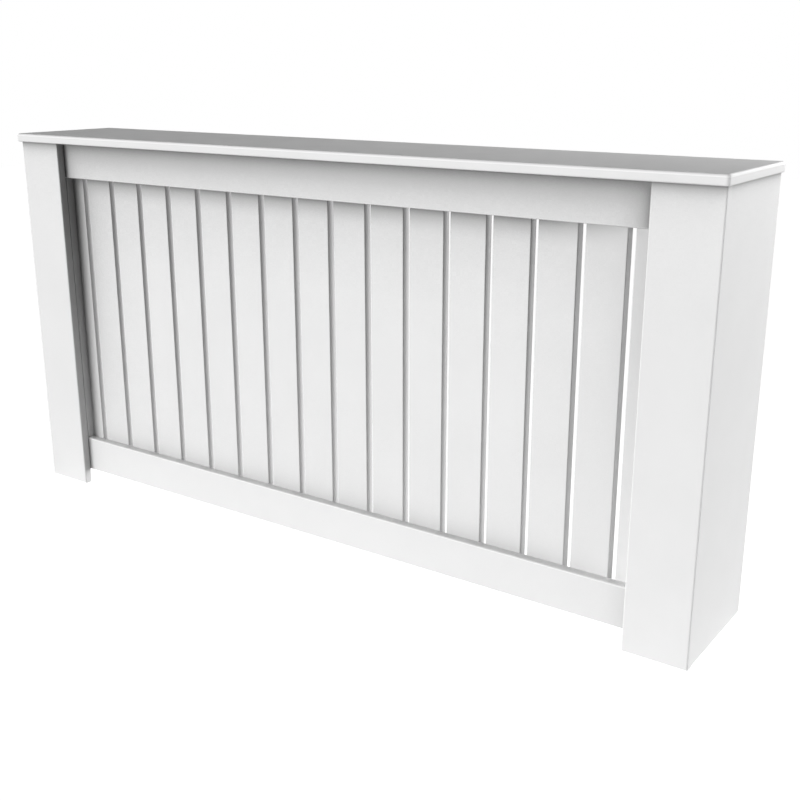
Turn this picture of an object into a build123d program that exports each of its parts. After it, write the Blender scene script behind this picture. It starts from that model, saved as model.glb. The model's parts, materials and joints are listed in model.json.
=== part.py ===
from build123d import *
import os

# Radiator cover cabinet of white board: a top board on two side panels and two flat corner posts,
# with a front frame of rails and stiles that carries a row of vertical slats from behind.
# Millimetres. The origin is on the floor under the middle of the cover, +Z is up, and the front
# looks along -Y, so the rear plane that stands at the wall is at half the depth.

# ---------------------------------------------------------------- driving dimensions
overall_width = 1640.0
overall_depth = 265.0
overall_height = 820.0

top_thickness = 18.0
top_side_overhang = 5.0
top_front_overhang = 10.0
top_upper_radius = 5.0
top_lower_radius = 3.0
top_corner_radius = 6.0

side_thickness = 18.0
post_width = 120.0
post_thickness = 18.0
edge_radius = 3.0

frame_thickness = 18.0
rail_top_height = 76.0
rail_bottom_height = 80.0
floor_gap = 32.0

slat_count = 17
slat_thickness = 18.0
slat_gap = 13.0
slat_side_lap = 40.0
slat_end_lap = 50.0
slat_edge_radius = 2.0

dowel_diameter = 8.0
dowel_length = 30.0
dowel_chamfer = 1.0
dowel_face_depth = 12.0
dowel_fit = 0.05
dowel_end_room = 1.0
post_dowel_end_margin = 130.0
rail_dowel_offset = 20.0
stile_dowel_offset = 25.0
top_rail_dowel_spacing = 460.0

screw_diameter = 4.0
screw_head_diameter = 8.0
screw_tip_length = 3.0
screw_bite = 12.0
screw_fit = 0.05
screw_end_room = 0.5
recess_length = 4.4
recess_width = 1.0
recess_depth = 1.4
slat_screw_offset = 20.0
post_screw_rows = 3

pan_head_height = 2.4
pan_head_radius = 1.5
bracket_thickness = 2.0
bracket_bend_radius = 1.0
bracket_hole_clearance = 0.25
corner_bracket_leg = 25.0
corner_bracket_width = 16.0
corner_bracket_hole_margin = 9.0
wall_bracket_leg = 40.0
wall_bracket_width = 25.0
wall_bracket_spacing = 1100.0
wall_bracket_hole_margin = 10.0
wall_bracket_hole_spacing = 16.0
wall_hole_diameter = 5.0
wall_hole_margin = 13.0

cam_diameter = 15.0
cam_running_fit = 0.05
cam_floor_gap = 0.3
cam_plate = 0.9
cam_distance = 34.0
cam_front_setback = 44.0
cam_rear_setback = 40.0
cam_wall = 1.25
cam_eccentricity = 0.5
cam_clearance = 0.3
cam_recess_length = 9.0
cam_recess_width = 1.8
cam_recess_depth = 2.6
cam_arrow_size = 2.6
cam_arrow_depth = 0.5
cam_arrow_margin = 0.5
bolt_head_radius = 3.0
bolt_neck_radius = 1.9
bolt_shank_radius = 3.0
bolt_thread_radius = 2.5
bolt_thread_length = 11.0
bolt_shank_gap = 1.0
bolt_hole_diameter = 8.0

contact_tolerance = 0.01

# ---------------------------------------------------------------- planes and places
sides = {"left": -1, "right": 1}

body_width = overall_width - 2 * top_side_overhang
body_height = overall_height - top_thickness
outer_x = body_width / 2
inner_x = outer_x - side_thickness
opening_x = outer_x - post_width

rear_y = overall_depth / 2
post_front_y = -overall_depth / 2 + top_front_overhang
frame_front_y = post_front_y + post_thickness
slat_front_y = frame_front_y + frame_thickness
slat_back_y = slat_front_y + slat_thickness
frame_middle_y = frame_front_y + frame_thickness / 2

bottom_rail_top_z = floor_gap + rail_bottom_height
top_rail_bottom_z = body_height - rail_top_height
bottom_rail_middle_z = floor_gap + rail_bottom_height / 2
top_rail_middle_z = body_height - rail_top_height / 2

slat_field_x = opening_x + slat_side_lap
slat_width = (2 * slat_field_x - (slat_count - 1) * slat_gap) / slat_count
slat_bottom_z = bottom_rail_top_z - slat_end_lap
slat_top_z = top_rail_bottom_z + slat_end_lap

side_middle_x = outer_x - side_thickness / 2
post_screw_x = (slat_field_x + inner_x) / 2
stile_middle_x = (opening_x + inner_x) / 2
cam_z = body_height - cam_distance
cam_front_y = slat_back_y + cam_front_setback
cam_rear_y = rear_y - cam_rear_setback
cam_depth = side_thickness / 2 + bolt_head_radius + cam_clearance + cam_plate
cam_radius = cam_diameter / 2 - cam_running_fit
cam_cavity_radius = cam_radius - cam_eccentricity - cam_wall

pan_head_diameter = screw_head_diameter
bracket_screw_length = screw_bite + bracket_thickness
bracket_hole_diameter = screw_diameter + 2 * bracket_hole_clearance
corner_hole_distance = corner_bracket_leg - corner_bracket_hole_margin
wall_hole_distance = wall_bracket_leg - wall_hole_margin
far_hole_distance = wall_bracket_leg - wall_bracket_hole_margin
wall_bracket_screw_distances = (far_hole_distance - wall_bracket_hole_spacing, far_hole_distance)


# ---------------------------------------------------------------- small helpers
def box_between(low, high):
    """Box from its lowest to its highest corner."""
    size = [b - a for a, b in zip(low, high)]
    return Pos(*low) * Box(*size, align=(Align.MIN, Align.MIN, Align.MIN))


def rod(start, direction, length, radius):
    """Cylinder of a length along a direction, its first end centred on the start."""
    along = Plane(origin=start, z_dir=direction).location
    return along * Cylinder(radius, length, align=(Align.CENTER, Align.CENTER, Align.MIN))


def shifted(point, direction, distance):
    """Point moved along a direction."""
    return tuple(p + d * distance for p, d in zip(point, direction))


def front_board(low, high, radius, keep_square=()):
    """Board with its front edges rounded, apart from the sides named: left, right, bottom or top."""
    board = box_between(low, high)
    front_edges = board.faces().sort_by(Axis.Y)[0].edges()
    picked = {
        "left": front_edges.sort_by(Axis.X)[0],
        "right": front_edges.sort_by(Axis.X)[-1],
        "bottom": front_edges.sort_by(Axis.Z)[0],
        "top": front_edges.sort_by(Axis.Z)[-1],
    }
    rounded = [edge for name, edge in picked.items() if name not in keep_square]
    return fillet(rounded, radius)


def spun(outline):
    """Solid turned about Z from a closed outline of (radius, height) points."""
    return revolve(make_face(Plane.XZ * Polyline(*outline, close=True)), Axis.Z)


# ---------------------------------------------------------------- boards
def make_top_board():
    board = box_between(
        (-overall_width / 2, -overall_depth / 2, body_height),
        (overall_width / 2, overall_depth / 2, overall_height),
    )
    front_corners = board.edges().filter_by(Axis.Z).group_by(Axis.Y)[0]
    board = fillet(front_corners, top_corner_radius)
    upper = board.faces().sort_by(Axis.Z)[-1].edges()
    board = fillet(upper - upper.group_by(Axis.Y)[-1], top_upper_radius)
    lower = board.faces().sort_by(Axis.Z)[0].edges()
    return fillet(lower - lower.group_by(Axis.Y)[-1], top_lower_radius)


def make_side_panel(side):
    low_x, high_x = sorted((side * inner_x, side * outer_x))
    panel = box_between((low_x, frame_front_y, 0), (high_x, rear_y, body_height))
    lower_edges = panel.faces().sort_by(Axis.Z)[0].edges().filter_by(Axis.Y)
    outer_edge = lower_edges.sort_by(Axis.X)[-1 if side > 0 else 0]
    return fillet(outer_edge, edge_radius)


def make_corner_post(side):
    low_x, high_x = sorted((side * opening_x, side * outer_x))
    low = (low_x, post_front_y, 0)
    high = (high_x, frame_front_y, body_height)
    post = front_board(low, high, edge_radius, keep_square=("top",))
    rear_edges = post.faces().sort_by(Axis.Y)[-1].edges().filter_by(Axis.Z)
    inner_edge = rear_edges.sort_by(Axis.X)[-1 if side < 0 else 0]
    return fillet(inner_edge, edge_radius)


def make_rail(low_z, high_z, keep_square):
    low = (-inner_x, frame_front_y, low_z)
    high = (inner_x, slat_front_y, high_z)
    return front_board(low, high, edge_radius, keep_square=("left", "right", *keep_square))


def make_stile(name, side):
    low_x, high_x = sorted((side * opening_x, side * inner_x))
    low = (low_x, frame_front_y, bottom_rail_top_z)
    high = (high_x, slat_front_y, top_rail_bottom_z)
    return front_board(low, high, edge_radius, keep_square=(name, "bottom", "top"))


def slat_left_x(index):
    return -slat_field_x + index * (slat_width + slat_gap)


def make_slat(index):
    left_x = slat_left_x(index)
    low = (left_x, slat_front_y, slat_bottom_z)
    high = (left_x + slat_width, slat_back_y, slat_top_z)
    return front_board(low, high, slat_edge_radius, keep_square=("bottom", "top"))


# ---------------------------------------------------------------- dowels
def dowel(point, direction):
    """Dowel across a joint at the point: its short end goes along the direction."""
    radius = dowel_diameter / 2
    start = shifted(point, direction, dowel_face_depth - dowel_length)
    pin = rod(start, direction, dowel_length, radius)
    return chamfer(pin.edges().filter_by(GeomType.CIRCLE), dowel_chamfer)


def dowel_hole(point, direction):
    radius = dowel_diameter / 2 + dowel_fit
    start = shifted(point, direction, dowel_face_depth - dowel_length - dowel_end_room)
    return rod(start, direction, dowel_length + 2 * dowel_end_room, radius)


def dowel_places():
    """Joint point and direction of every dowel, by group."""
    up = (0, 0, 1)
    forward = (0, -1, 0)
    places = {"top_dowels": [], "post_dowels": [], "rail_dowels": [], "stile_dowels": []}
    for x in (-top_rail_dowel_spacing, 0, top_rail_dowel_spacing):
        places["top_dowels"].append(((x, frame_middle_y, body_height), up))
    for side in sides.values():
        post_x = side * (outer_x - post_width / 2)
        panel_y = (cam_front_y + cam_rear_y) / 2
        places["top_dowels"].append(((post_x, post_front_y + post_thickness / 2, body_height), up))
        places["top_dowels"].append(((side * side_middle_x, panel_y, body_height), up))
        for z in (post_dowel_end_margin, body_height / 2, body_height - post_dowel_end_margin):
            places["post_dowels"].append(((side * side_middle_x, frame_front_y, z), forward))
        for middle_z in (bottom_rail_middle_z, top_rail_middle_z):
            for offset in (-rail_dowel_offset, rail_dowel_offset):
                point = (side * inner_x, frame_middle_y, middle_z + offset)
                places["rail_dowels"].append((point, (side, 0, 0)))
        for joint_z, away in ((bottom_rail_top_z, (0, 0, -1)), (top_rail_bottom_z, up)):
            for offset in (-stile_dowel_offset, stile_dowel_offset):
                point = (side * (stile_middle_x + offset), frame_middle_y, joint_z)
                places["stile_dowels"].append((point, away))
    return places


# ---------------------------------------------------------------- screws
def cross_recess(length, width, depth):
    """Cross slot cut down from z = 0."""
    align = (Align.CENTER, Align.CENTER, Align.MAX)
    return Box(length, width, depth, align=align) + Box(width, length, depth, align=align)


def countersunk_screw(length):
    """Wood screw pointing down -Z, its flat head level with z = 0."""
    radius = screw_diameter / 2
    head_radius = screw_head_diameter / 2
    outline = [
        (0, 0),
        (head_radius, 0),
        (radius, radius - head_radius),
        (radius, screw_tip_length - length),
        (0, -length),
    ]
    return spun(outline) - cross_recess(recess_length, recess_width, recess_depth)


def countersunk_hole(length):
    radius = screw_diameter / 2 + screw_fit
    head_radius = screw_head_diameter / 2 + screw_fit
    bottom = -length - screw_end_room
    outline = [(0, 0), (head_radius, 0), (radius, radius - head_radius), (radius, bottom), (0, bottom)]
    return spun(outline)


def pan_screw(length):
    """Screw pointing down -Z with a rounded head that sits on z = 0."""
    radius = screw_diameter / 2
    base = Align.CENTER, Align.CENTER, Align.MIN
    head = Cylinder(pan_head_diameter / 2, pan_head_height, align=base)
    head = fillet(head.edges().group_by(Axis.Z)[-1], pan_head_radius)
    head -= Pos(0, 0, pan_head_height) * cross_recess(recess_length, recess_width, recess_depth)
    outline = [(0, 0), (radius, 0), (radius, screw_tip_length - length), (0, -length)]
    return head + spun(outline)


def pilot_hole(length):
    radius = screw_diameter / 2 + screw_fit
    return rod((0, 0, 0), (0, 0, -1), length + screw_end_room, radius)


def driven(shape, point, direction):
    """Screw or hole moved so that it points along the direction from the point."""
    away = tuple(-d for d in direction)
    return Plane(origin=point, z_dir=away).location * shape


def slat_screw_points(z):
    points = []
    for index in range(slat_count):
        middle_x = slat_left_x(index) + slat_width / 2
        for offset in (-slat_screw_offset, slat_screw_offset):
            points.append((middle_x + offset, slat_back_y, z))
    return points


def stile_height(row):
    """Height of a row of screws on the stile, with row 0 at its bottom; a half row is between two."""
    step = (top_rail_bottom_z - bottom_rail_top_z) / (post_screw_rows + 1)
    return bottom_rail_top_z + step * row


def post_screw_points():
    heights = [stile_height(row) for row in range(1, post_screw_rows + 1)]
    heights += [bottom_rail_middle_z, top_rail_middle_z]
    return [(side * post_screw_x, slat_front_y, z) for side in sides.values() for z in heights]


# ---------------------------------------------------------------- angle brackets
def angle_bracket(leg, width, holes_a, holes_b):
    """Angle with legs along +X and +Y from its outer corner at the origin, centred on Z.

    Each hole is a distance from the corner and a diameter: holes_a in the leg along X, holes_b along Y.
    """
    along_x = box_between((0, 0, -width / 2), (leg, bracket_thickness, width / 2))
    along_y = box_between((0, 0, -width / 2), (bracket_thickness, leg, width / 2))
    angle = along_x + along_y
    upright = angle.edges().filter_by(Axis.Z)
    outer_corner = upright.sort_by_distance((0, 0, 0))[0]
    angle = fillet(outer_corner, bracket_thickness + bracket_bend_radius)
    inside = (bracket_thickness, bracket_thickness, 0)
    inner_corner = angle.edges().filter_by(Axis.Z).sort_by_distance(inside)[0]
    angle = fillet(inner_corner, bracket_bend_radius)
    for distance, diameter in holes_a:
        angle -= rod((distance, 0, 0), (0, 1, 0), bracket_thickness, diameter / 2)
    for distance, diameter in holes_b:
        angle -= rod((0, distance, 0), (1, 0, 0), bracket_thickness, diameter / 2)
    return angle


def corner_bracket_heights():
    """Half way between the two lowest and the two highest rows of post screws on the stile."""
    return {"lower": stile_height(1.5), "upper": stile_height(post_screw_rows - 0.5)}


def make_corner_bracket(side, z):
    """Angle in the corner between the stile's back and the side panel's inner face."""
    hole = (corner_hole_distance, bracket_hole_diameter)
    angle = angle_bracket(corner_bracket_leg, corner_bracket_width, [hole], [hole])
    corner = Plane(origin=(side * inner_x, slat_front_y, z), x_dir=(-side, 0, 0), z_dir=(0, 0, -side))
    return corner.location * angle


def corner_bracket_screw_places():
    places = []
    for side in sides.values():
        for z in corner_bracket_heights().values():
            stile_x = side * (inner_x - corner_hole_distance)
            panel_y = slat_front_y + corner_hole_distance
            places.append(((stile_x, slat_front_y + bracket_thickness, z), (0, -1, 0)))
            places.append(((side * (inner_x - bracket_thickness), panel_y, z), (side, 0, 0)))
    return places


def make_wall_bracket(side):
    """Angle under the rear edge of the top board, its upright leg flat to the wall."""
    under_top = [(distance, bracket_hole_diameter) for distance in wall_bracket_screw_distances]
    at_wall = [(wall_hole_distance, wall_hole_diameter)]
    angle = angle_bracket(wall_bracket_leg, wall_bracket_width, under_top, at_wall)
    origin = (side * wall_bracket_spacing / 2, rear_y, body_height)
    return Plane(origin=origin, x_dir=(0, -1, 0), z_dir=(1, 0, 0)).location * angle


def wall_bracket_screw_places():
    places = []
    for side in sides.values():
        for distance in wall_bracket_screw_distances:
            point = (side * wall_bracket_spacing / 2, rear_y - distance, body_height - bracket_thickness)
            places.append((point, (0, 0, 1)))
    return places


# ---------------------------------------------------------------- cam locks
def make_cam():
    """Turning cam, its screwdriver face at x = 0 and its body towards -X.

    At rest the bolt's neck comes in from +Z. The slot for the neck covers the +Y half, and the
    window that lets the bolt's head out is at -Z, half a turn away.
    """
    reach = cam_diameter
    bolt_x = -side_thickness / 2
    head_room = bolt_head_radius + cam_clearance
    neck_room = bolt_neck_radius + cam_clearance
    cam = rod((0, 0, 0), (-1, 0, 0), cam_depth, cam_radius)
    cam -= rod((bolt_x - head_room, 0, -cam_eccentricity), (1, 0, 0), 2 * head_room, cam_cavity_radius)
    cam -= box_between((bolt_x - neck_room, 0, -reach), (bolt_x + neck_room, reach, reach))
    cam -= box_between((bolt_x - neck_room, -neck_room, 0), (bolt_x + neck_room, 0, reach))
    cam -= box_between((bolt_x - head_room, -head_room, -reach), (bolt_x + head_room, head_room, 0))
    recess = cross_recess(cam_recess_length, cam_recess_width, cam_recess_depth)
    cam -= Plane(origin=(0, 0, 0), z_dir=(1, 0, 0)).location * recess
    return cam - make_cam_arrow()


def make_cam_arrow():
    """Small triangle cut into the cam's face, its point at the window's side of the rim."""
    tip = cam_arrow_margin - cam_radius
    half = cam_arrow_size / 2
    outline = [(0, tip), (half, tip + cam_arrow_size), (-half, tip + cam_arrow_size)]
    face = make_face(Plane.YZ * Polyline(*outline, close=True))
    return extrude(face, cam_arrow_depth, dir=(-1, 0, 0))


def cam_placement(side, y):
    """Place of a cam in a panel's inner face: the right panel's cam is the left one turned round."""
    turn = 0 if side < 0 else 180
    return Pos(side * inner_x, y, cam_z) * Rot(0, 0, turn)


def cam_housing_hole(side, y):
    depth = cam_depth + cam_floor_gap
    return rod((side * inner_x, y, cam_z), (side, 0, 0), depth, cam_diameter / 2)


def make_cam_bolt(side, y):
    """Bolt screwed up into the top board, its ball head held inside the cam."""
    x = side * side_middle_x
    up = (0, 0, 1)
    head_z = cam_z + cam_cavity_radius - cam_eccentricity - cam_clearance - bolt_head_radius
    shank_z = cam_z + cam_diameter / 2 + bolt_shank_gap
    bolt = Pos(x, y, head_z) * Sphere(bolt_head_radius)
    bolt += rod((x, y, head_z), up, shank_z - head_z, bolt_neck_radius)
    bolt += rod((x, y, shank_z), up, body_height - shank_z, bolt_shank_radius)
    return bolt + rod((x, y, body_height), up, bolt_thread_length, bolt_thread_radius)


def cam_bolt_holes(side, y):
    x = side * side_middle_x
    up = (0, 0, 1)
    thread_room = bolt_thread_length + screw_end_room
    shank_hole = rod((x, y, cam_z), up, cam_distance, bolt_hole_diameter / 2)
    thread_hole = rod((x, y, body_height), up, thread_room, bolt_thread_radius + screw_fit)
    return [shank_hole, thread_hole]


# ---------------------------------------------------------------- assembly
def make_boards():
    boards = {"top_board": make_top_board()}
    boards["frame_rail_top"] = make_rail(top_rail_bottom_z, body_height, keep_square=("top",))
    boards["frame_rail_bottom"] = make_rail(floor_gap, bottom_rail_top_z, keep_square=())
    for name, side in sides.items():
        boards[f"side_panel_{name}"] = make_side_panel(side)
        boards[f"corner_post_{name}"] = make_corner_post(side)
        boards[f"frame_stile_{name}"] = make_stile(name, side)
    for index in range(slat_count):
        boards[f"slat_{index + 1:02d}"] = make_slat(index)
    return boards


def make_fixings():
    """Every dowel, screw, bracket and cam by node name, and the holes they need in the boards."""
    nodes = {}
    holes = []
    for name, places in dowel_places().items():
        nodes[name] = [dowel(*place) for place in places]
        holes += [dowel_hole(*place) for place in places]

    backward = (0, -1, 0)
    slat_screw_length = slat_thickness + screw_bite
    post_screw_length = frame_thickness + screw_bite
    countersunk_groups = {
        "slat_screws_bottom": (slat_screw_points(bottom_rail_top_z - slat_end_lap / 2), slat_screw_length),
        "slat_screws_top": (slat_screw_points(top_rail_bottom_z + slat_end_lap / 2), slat_screw_length),
        "post_screws": (post_screw_points(), post_screw_length),
    }
    for name, (points, length) in countersunk_groups.items():
        screw = countersunk_screw(length)
        hole = countersunk_hole(length)
        nodes[name] = [driven(screw, point, backward) for point in points]
        holes += [driven(hole, point, backward) for point in points]

    pan_groups = {
        "corner_bracket_screws": corner_bracket_screw_places(),
        "wall_bracket_screws": wall_bracket_screw_places(),
    }
    screw = pan_screw(bracket_screw_length)
    hole = pilot_hole(bracket_screw_length)
    for name, places in pan_groups.items():
        nodes[name] = [driven(screw, *place) for place in places]
        holes += [driven(hole, *place) for place in places]

    nodes["cam_bolts"] = []
    for name, side in sides.items():
        nodes[f"wall_bracket_{name}"] = [make_wall_bracket(side)]
        for level, z in corner_bracket_heights().items():
            nodes[f"corner_bracket_{name}_{level}"] = [make_corner_bracket(side, z)]
        for place, y in (("front", cam_front_y), ("rear", cam_rear_y)):
            nodes[f"cam_{name}_{place}"] = [cam_placement(side, y) * make_cam()]
            nodes["cam_bolts"].append(make_cam_bolt(side, y))
            holes.append(cam_housing_hole(side, y))
            holes += cam_bolt_holes(side, y)
    return nodes, holes


def reaches(hole, board):
    """Whether the boxes of a hole and a board overlap."""
    a, b = hole.bounding_box(), board.bounding_box()
    lows = [max(p, q) for p, q in zip(a.min, b.min)]
    highs = [min(p, q) for p, q in zip(a.max, b.max)]
    return all(high - low > contact_tolerance for low, high in zip(lows, highs))


def main():
    boards = make_boards()
    nodes, holes = make_fixings()
    for name, board in boards.items():
        for hole in holes:
            if reaches(hole, board):
                board -= hole
        nodes[name] = [board]
    os.makedirs("parts", exist_ok=True)
    for name, pieces in sorted(nodes.items()):
        solids = [solid for piece in pieces for solid in piece.solids()]
        export_step(Compound(solids), f"parts/{name}.step")


main()
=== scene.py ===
import json
import math

import bpy
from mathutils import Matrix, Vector


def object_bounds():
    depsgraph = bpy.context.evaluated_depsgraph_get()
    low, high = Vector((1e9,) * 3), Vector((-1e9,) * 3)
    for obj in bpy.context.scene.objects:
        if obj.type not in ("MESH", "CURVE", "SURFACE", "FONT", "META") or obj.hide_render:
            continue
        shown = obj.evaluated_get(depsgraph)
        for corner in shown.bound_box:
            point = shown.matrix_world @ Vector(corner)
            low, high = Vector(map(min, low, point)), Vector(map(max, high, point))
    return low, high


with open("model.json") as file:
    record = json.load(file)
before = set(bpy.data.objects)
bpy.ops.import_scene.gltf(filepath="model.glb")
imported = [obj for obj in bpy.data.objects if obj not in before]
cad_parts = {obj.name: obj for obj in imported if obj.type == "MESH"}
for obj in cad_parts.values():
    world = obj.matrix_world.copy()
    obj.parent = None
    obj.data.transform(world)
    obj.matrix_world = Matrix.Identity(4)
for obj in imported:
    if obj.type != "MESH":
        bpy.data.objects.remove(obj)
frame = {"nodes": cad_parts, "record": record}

# The looks of a white radiator cover cabinet: finishes, floor, studio light and camera.
# Metres, in the model's own frame: the floor is at z = 0 and the slatted front looks along -Y.

# ---------------------------------------------------------------- camera
# The turn is from looking along +Y to the left, and the tilt up from level, both in degrees. The
# lens and the sensor are in millimetres.
camera_place = (1.3633, -1.7439, 0.9780)
camera_turn = 34.961
camera_tilt = -17.013
camera_lens = 50.0
camera_sensor = 36.0

# ---------------------------------------------------------------- light
# Each lamp is a soft box that looks at the middle of the cover. Its azimuth is the side that it
# stands on, from 0 at the front to 90 at the right, its distance is from that middle, its size is its
# width and height, and its level is how brightly a white surface that faces it renders.
lamps = {
    "key": {"azimuth": -25, "elevation": 4.5, "distance": 60.0, "size": (40.0, 16.0), "level": 0.95},
    "side": {"azimuth": 117, "elevation": 3, "distance": 30.0, "size": (20.0, 8.0), "level": 0.705},
    "back": {"azimuth": 180, "elevation": 3, "distance": 30.0, "size": (8.0, 8.0), "level": 0.35},
    "fill": {"azimuth": 136, "elevation": 33, "distance": 1.8, "size": (0.6, 0.6), "level": 0.235},
}

# The world and the floor's own glow each have a strength as a light, and one as they are looked at.
world_light = 0.037
world_look = 1.0
floor_light = 0.10
floor_look = 0.87
floor_size = 16.0
floor_colour = (0.8, 0.8, 0.8, 1)

# ---------------------------------------------------------------- white lacquer
# A noise has the size of its patches in metres, and its detail.
white = (1, 1, 1, 1)
board_colours = ((0.84, 0.84, 0.84, 1), (0.86, 0.86, 0.86, 1))
board_tone_noise = {"patch": 0.11, "detail": 4}
board_roughness = (0.45, 0.55)
board_gloss_noise = {"patch": 0.03, "detail": 3}
board_reflection = 0.15
wave_noise = {"patch": 0.05, "detail": 1}
wave_depth = 0.00008
peel_noise = {"patch": 0.0016, "detail": 2}
peel_depth = 0.000006

# The recess shade is shade painted into the lacquer's colour, toward the shade colour. It is its slope
# times a power of how much of a surface is covered by what is within its reach, up to its limit. It goes
# from its low share to its full strength between two heights.
# Slats lose some of it toward the right end, between two places along X. Faces that look to the rear
# or down keep only its rear share.
painted_shade_colour = (0.03, 0.03, 0.03, 1)
recess_reach = 0.25
recess_samples = 16
recess_power = 0.55
recess_slope = 1.3
recess_limit = 0.8
recess_low_share = 0.35
recess_heights = (0.15, 0.65)
recess_right_places = (0.48, 0.7)
recess_rear_share = 0.35

# A face counts as sideways where it faces along X by more than the first value. It counts as an inner
# one in full where that, times its place along X, is down to the second.
sideways_start = 0.8
inner_start = -0.5

# Rounded upper edges get a painted white highlight, and edges that turn left get this share of that
# painted highlight. An edge counts as rounded in full where its facing, times what that lacks of 1, is up
# to the value.
highlight_left_share = 0.45
edge_full = 0.1

# The share of that painted highlight on ledges, and the shares of the painted recess shade that are
# kept: by faces that look sideways, by slats at the right end, and by faces that look toward the middle
# of the cover.
finishes = {
    "white_case": {"ledge_highlight_share": 0.0, "slot_share": 1.0, "right_share": 1.0, "inner_share": 0.35},
    "white_frame": {"ledge_highlight_share": 1.0, "slot_share": 0.8, "right_share": 1.0, "inner_share": 1.0},
    "white_slat": {"ledge_highlight_share": 0.0, "slot_share": 0.37, "right_share": 0.35, "inner_share": 1.0},
}
case_nodes = ["top_board", "side_panel_left", "side_panel_right"]

# ---------------------------------------------------------------- metal and wood
# Bright zinc plate on pressed and turned steel, and dull die-cast zinc on the cams.
metals = {
    "zinc_steel": {
        "colours": ((0.52, 0.53, 0.55, 1), (0.68, 0.68, 0.67, 1)),
        "tone_noise": {"patch": 0.006, "detail": 5},
        "roughness": (0.26, 0.42),
        "gloss_noise": {"patch": 0.002, "detail": 4},
        "grain_noise": {"patch": 0.0006, "detail": 3},
        "grain_depth": 0.00001,
    },
    "cam_metal": {
        "colours": ((0.42, 0.43, 0.44, 1), (0.56, 0.56, 0.57, 1)),
        "tone_noise": {"patch": 0.003, "detail": 5},
        "roughness": (0.4, 0.56),
        "gloss_noise": {"patch": 0.001, "detail": 3},
        "grain_noise": {"patch": 0.0005, "detail": 4},
        "grain_depth": 0.00003,
    },
}

# Bare beech on the dowels. Along the grain its noise changes only this much as fast as across it.
beech_colours = ((0.50, 0.33, 0.18, 1), (0.70, 0.52, 0.33, 1))
beech_noise = {"patch": 0.0012, "detail": 5}
beech_along_grain = 0.06
beech_roughness = (0.55, 0.7)
beech_depth = 0.00005
dowel_axes = {"rail_dowels": "x", "post_dowels": "y", "top_dowels": "z", "stile_dowels": "z"}

# What nearly all values of a noise lie between.
noise_low = 0.3
noise_high = 0.7


# ---------------------------------------------------------------- node helpers
class Maker:
    """A new material and short ways to add and link its nodes."""

    def __init__(self, name):
        self.material = bpy.data.materials.new(name)
        self.material.use_nodes = True
        self.tree = self.material.node_tree
        self.shader = self.tree.nodes["Principled BSDF"]
        self.place = self.add("ShaderNodeTexCoord").outputs["Object"]

    def add(self, kind, **settings):
        """A new node with its settings."""
        node = self.tree.nodes.new(kind)
        for name, value in settings.items():
            setattr(node, name, value)
        return node

    def link(self, output, target):
        """Feeds a node's output into a socket."""
        self.tree.links.new(output, target)

    def feed(self, value, socket):
        """Gives a socket a value, which is a constant or another node's output."""
        if isinstance(value, bpy.types.NodeSocket):
            self.link(value, socket)
        else:
            socket.default_value = value

    def stretched(self, scale):
        """The object's own coordinates, multiplied per axis."""
        mapping = self.add("ShaderNodeMapping")
        mapping.inputs["Scale"].default_value = scale
        self.link(self.place, mapping.inputs["Vector"])
        return mapping.outputs["Vector"]

    def noise(self, patch, detail, vector=None):
        """Noise whose patches are about that size in metres."""
        node = self.add("ShaderNodeTexNoise")
        node.inputs["Scale"].default_value = 1 / patch
        node.inputs["Detail"].default_value = detail
        self.link(vector or self.place, node.inputs["Vector"])
        return node.outputs["Fac"]

    def ranged(self, value, low, high, start=noise_low, end=noise_high):
        """A value spread so that it goes from low to high as it goes from start to end."""
        node = self.add("ShaderNodeMapRange")
        node.inputs["From Min"].default_value = start
        node.inputs["From Max"].default_value = end
        node.inputs["To Min"].default_value = low
        node.inputs["To Max"].default_value = high
        self.link(value, node.inputs["Value"])
        return node.outputs["Result"]

    def blended(self, factor, first, second):
        """Mix of two colours by a factor."""
        node = self.add("ShaderNodeMix", data_type="RGBA")
        self.link(factor, node.inputs["Factor"])
        self.feed(first, node.inputs["A"])
        self.feed(second, node.inputs["B"])
        return node.outputs["Result"]

    def counted(self, operation, first, second):
        """The result of a calculation with two values."""
        node = self.add("ShaderNodeMath", operation=operation)
        self.feed(first, node.inputs[0])
        self.feed(second, node.inputs[1])
        return node.outputs["Value"]

    def split(self, vector, axis):
        """One axis of a vector."""
        node = self.add("ShaderNodeSeparateXYZ")
        self.link(vector, node.inputs["Vector"])
        return node.outputs[axis]

    def facing(self, axis):
        """How much the surface faces along an axis, from -1 to 1."""
        return self.split(self.add("ShaderNodeNewGeometry").outputs["Normal"], axis)

    def place_along(self, axis):
        """Where the surface lies along an axis, in metres."""
        return self.split(self.place, axis)

    def hemmed_in(self):
        """How much painted shade an upright or hanging face gets from being hemmed in by what is within
        reach, up to the limit.
        """
        node = self.add("ShaderNodeAmbientOcclusion", samples=recess_samples)
        node.inputs["Distance"].default_value = recess_reach
        covered = self.counted("SUBTRACT", 1.0, node.outputs["AO"])
        covered = self.counted("POWER", covered, recess_power)
        shade = self.ranged(covered, 0, recess_limit, start=0, end=recess_limit / recess_slope)
        return self.counted("MULTIPLY", shade, self.ranged(self.facing("Z"), 1, 0, start=0, end=1))

    def rounded(self, toward, most=1.0):
        """The most where a surface turns toward a direction, as a rounded edge does, else 0."""
        away = self.counted("SUBTRACT", 1.0, toward)
        turned = self.counted("MULTIPLY", toward, away)
        return self.ranged(turned, 0, most, start=0, end=edge_full)

    def bumped(self, height, depth, below=None):
        """Bump of a height map whose full swing is the depth in metres."""
        node = self.add("ShaderNodeBump")
        node.inputs["Distance"].default_value = depth
        self.link(height, node.inputs["Height"])
        if below is not None:
            self.link(below, node.inputs["Normal"])
        return node.outputs["Normal"]


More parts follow.
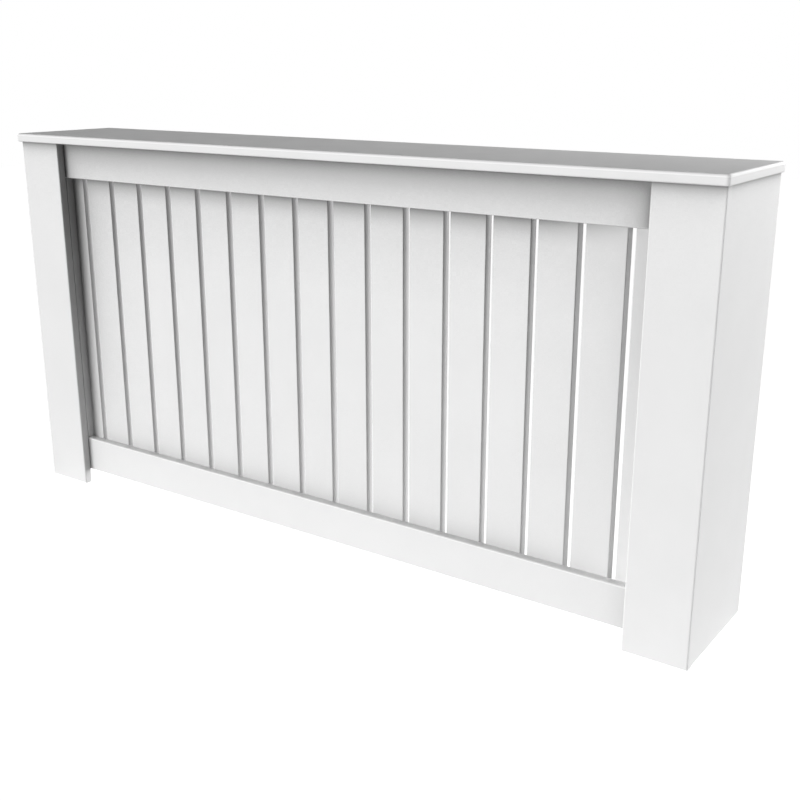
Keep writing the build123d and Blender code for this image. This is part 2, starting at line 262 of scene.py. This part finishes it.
# ---------------------------------------------------------------- finishes
def painted_edge_highlight(make, ledge_highlight_share):
    """How much painted highlight whitens the lacquer: on rounded upper edges, edges that turn left, and
    ledges.
    """
    up = make.facing("Z")
    left = make.counted("MULTIPLY", make.facing("X"), -1)
    edges = make.counted("MAXIMUM", make.rounded(up), make.rounded(left, highlight_left_share))
    return make.counted("MAXIMUM", edges, make.ranged(up, 0, ledge_highlight_share, start=0, end=1))


def painted_recess_shade(make, slot_share, right_share, inner_share):
    """How much shade is painted into the lacquer in recesses, with the shares that each place and face
    keeps.
    """
    sideways = make.counted("ABSOLUTE", make.facing("X"), 0)
    outward = make.counted("MULTIPLY", make.facing("X"), make.place_along("X"))
    shares = [
        make.ranged(sideways, 1, slot_share, start=sideways_start, end=1),
        make.ranged(outward, inner_share, 1, start=inner_start, end=0),
        make.ranged(make.facing("Y"), 1, recess_rear_share, start=0, end=1),
        make.ranged(make.facing("Z"), recess_rear_share, 1, start=-1, end=0),
        make.ranged(make.place_along("Z"), recess_low_share, 1, *recess_heights),
        make.ranged(make.place_along("X"), 1, right_share, *recess_right_places),
    ]
    shade = make.hemmed_in()
    for share in shares:
        shade = make.counted("MULTIPLY", shade, share)
    return shade


def white_lacquer(name, ledge_highlight_share, slot_share, right_share, inner_share):
    """Satin white lacquer on smooth board: hardly any colour change of its own, a fine orange peel,
    painted edge highlights and painted recess shade.
    """
    make = Maker(name)
    tone = make.ranged(make.noise(**board_tone_noise), 0, 1)
    colour = make.blended(tone, *board_colours)
    # Painted highlight: rounded upper edges, edges that turn left and ledges are whitened in the colour.
    colour = make.blended(painted_edge_highlight(make, ledge_highlight_share), colour, white)
    # Painted shade: recesses are darkened in the colour toward the shade colour.
    colour = make.blended(painted_recess_shade(make, slot_share, right_share, inner_share), colour, painted_shade_colour)
    make.link(colour, make.shader.inputs["Base Color"])
    gloss = make.ranged(make.noise(**board_gloss_noise), *board_roughness)
    make.link(gloss, make.shader.inputs["Roughness"])
    wave = make.bumped(make.noise(**wave_noise), wave_depth)
    peel = make.bumped(make.noise(**peel_noise), peel_depth, below=wave)
    make.link(peel, make.shader.inputs["Normal"])
    make.shader.inputs["Specular IOR Level"].default_value = board_reflection
    return make.material


def zinc(name, colours, tone_noise, roughness, gloss_noise, grain_noise, grain_depth):
    """Zinc whose tone and gloss change in patches, with a fine grain."""
    make = Maker(name)
    tone = make.ranged(make.noise(**tone_noise), 0, 1)
    make.link(make.blended(tone, *colours), make.shader.inputs["Base Color"])
    make.link(make.ranged(make.noise(**gloss_noise), *roughness), make.shader.inputs["Roughness"])
    make.link(make.bumped(make.noise(**grain_noise), grain_depth), make.shader.inputs["Normal"])
    make.shader.inputs["Metallic"].default_value = 1.0
    return make.material


def beech(axis):
    """Bare beech with its grain along an axis."""
    make = Maker("dowel_wood_" + axis)
    scale = [beech_along_grain if along == axis else 1.0 for along in "xyz"]
    grain = make.noise(**beech_noise, vector=make.stretched(scale))
    tone = make.ranged(grain, 0, 1)
    make.link(make.blended(tone, *beech_colours), make.shader.inputs["Base Color"])
    make.link(make.ranged(grain, *beech_roughness), make.shader.inputs["Roughness"])
    make.link(make.bumped(grain, beech_depth), make.shader.inputs["Normal"])
    return make.material


def dress(names, material):
    """Gives CAD nodes a material in every slot."""
    for name in names:
        mesh = frame["nodes"][name].data
        if not mesh.materials:
            mesh.materials.append(material)
        for index in range(len(mesh.materials)):
            mesh.materials[index] = material


def dress_all():
    """Gives every node its finish, by its material slot in the record."""
    nodes = {}
    for row in frame["record"]["subparts"]:
        nodes.setdefault(row["material_slot"], []).append(row["node"])
    slats = [node for node in nodes["white_board"] if node.startswith("slat")]
    front = [node for node in nodes["white_board"] if node not in case_nodes + slats]
    for name, boards in {"white_case": case_nodes, "white_frame": front, "white_slat": slats}.items():
        dress(boards, white_lacquer(name, **finishes[name]))
    for name, settings in metals.items():
        dress(nodes[name], zinc(name, **settings))
    for node, axis in dowel_axes.items():
        dress([node], beech(axis))


# ---------------------------------------------------------------- studio
def add_camera():
    """Camera at the place and angle that the cover is looked at from."""
    data = bpy.data.cameras.new("camera")
    data.lens = camera_lens
    data.sensor_width = camera_sensor
    camera = bpy.data.objects.new("camera", data)
    camera.location = camera_place
    camera.rotation_euler = (math.radians(90 + camera_tilt), 0, math.radians(camera_turn))
    bpy.context.scene.collection.objects.link(camera)
    bpy.context.scene.camera = camera


def add_lamp(name, azimuth, elevation, distance, size, level):
    """Soft box at a direction from the middle of the cover, with the power that gives its level."""
    low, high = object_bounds()
    middle = (low + high) / 2
    turn, rise = math.radians(azimuth), math.radians(elevation)
    away = Vector((math.sin(turn) * math.cos(rise), -math.cos(turn) * math.cos(rise), math.sin(rise)))
    data = bpy.data.lights.new(name, "AREA")
    data.shape = "RECTANGLE"
    data.size, data.size_y = size
    data.energy = level * math.pi * math.pi * distance * distance
    lamp = bpy.data.objects.new(name, data)
    lamp.location = middle + away * distance
    lamp.rotation_euler = away.to_track_quat("Z", "Y").to_euler()
    bpy.context.scene.collection.objects.link(lamp)


def add_strength(tree, as_light, as_looked_at):
    """Strength for rays that light the cover, and another for rays that look at a backdrop.

    The second kind comes from the camera, straight, by a reflection or through glass.
    """
    path = tree.nodes.new("ShaderNodeLightPath")
    looking = path.outputs["Is Camera Ray"]
    for name in ("Is Glossy Ray", "Is Transmission Ray"):
        most = tree.nodes.new("ShaderNodeMath")
        most.operation = "MAXIMUM"
        tree.links.new(looking, most.inputs[0])
        tree.links.new(path.outputs[name], most.inputs[1])
        looking = most.outputs["Value"]
    strength = tree.nodes.new("ShaderNodeMapRange")
    strength.inputs["To Min"].default_value = as_light
    strength.inputs["To Max"].default_value = as_looked_at
    tree.links.new(looking, strength.inputs["Value"])
    return strength.outputs["Result"]


def add_world():
    """White world that is dimmer as a light than as a backdrop."""
    world = bpy.data.worlds.new("studio")
    world.use_nodes = True
    tree = world.node_tree
    background = tree.nodes["Background"]
    background.inputs["Color"].default_value = white
    tree.links.new(add_strength(tree, world_light, world_look), background.inputs["Strength"])
    bpy.context.scene.world = world


def add_floor():
    """Pale floor that takes the cover's shadow and glows white for rays that look at it."""
    half = floor_size / 2
    corners = [(-half, -half, 0), (half, -half, 0), (half, half, 0), (-half, half, 0)]
    mesh = bpy.data.meshes.new("floor")
    mesh.from_pydata(corners, [], [(0, 1, 2, 3)])
    floor = bpy.data.objects.new("floor", mesh)
    bpy.context.scene.collection.objects.link(floor)
    # The soft boxes reach below the floor, which mustn't cut off their light.
    floor.visible_shadow = False
    material = bpy.data.materials.new("floor")
    material.use_nodes = True
    tree = material.node_tree
    shader = tree.nodes["Principled BSDF"]
    shader.inputs["Base Color"].default_value = floor_colour
    shader.inputs["Roughness"].default_value = 1.0
    shader.inputs["Specular IOR Level"].default_value = 0.0
    shader.inputs["Emission Color"].default_value = white
    tree.links.new(add_strength(tree, floor_light, floor_look), shader.inputs["Emission Strength"])
    mesh.materials.append(material)


# ---------------------------------------------------------------- scene
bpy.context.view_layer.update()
dress_all()
add_camera()
for name, settings in lamps.items():
    add_lamp(name, **settings)
add_world()
add_floor()
bpy.context.scene.view_settings.view_transform = "Standard"
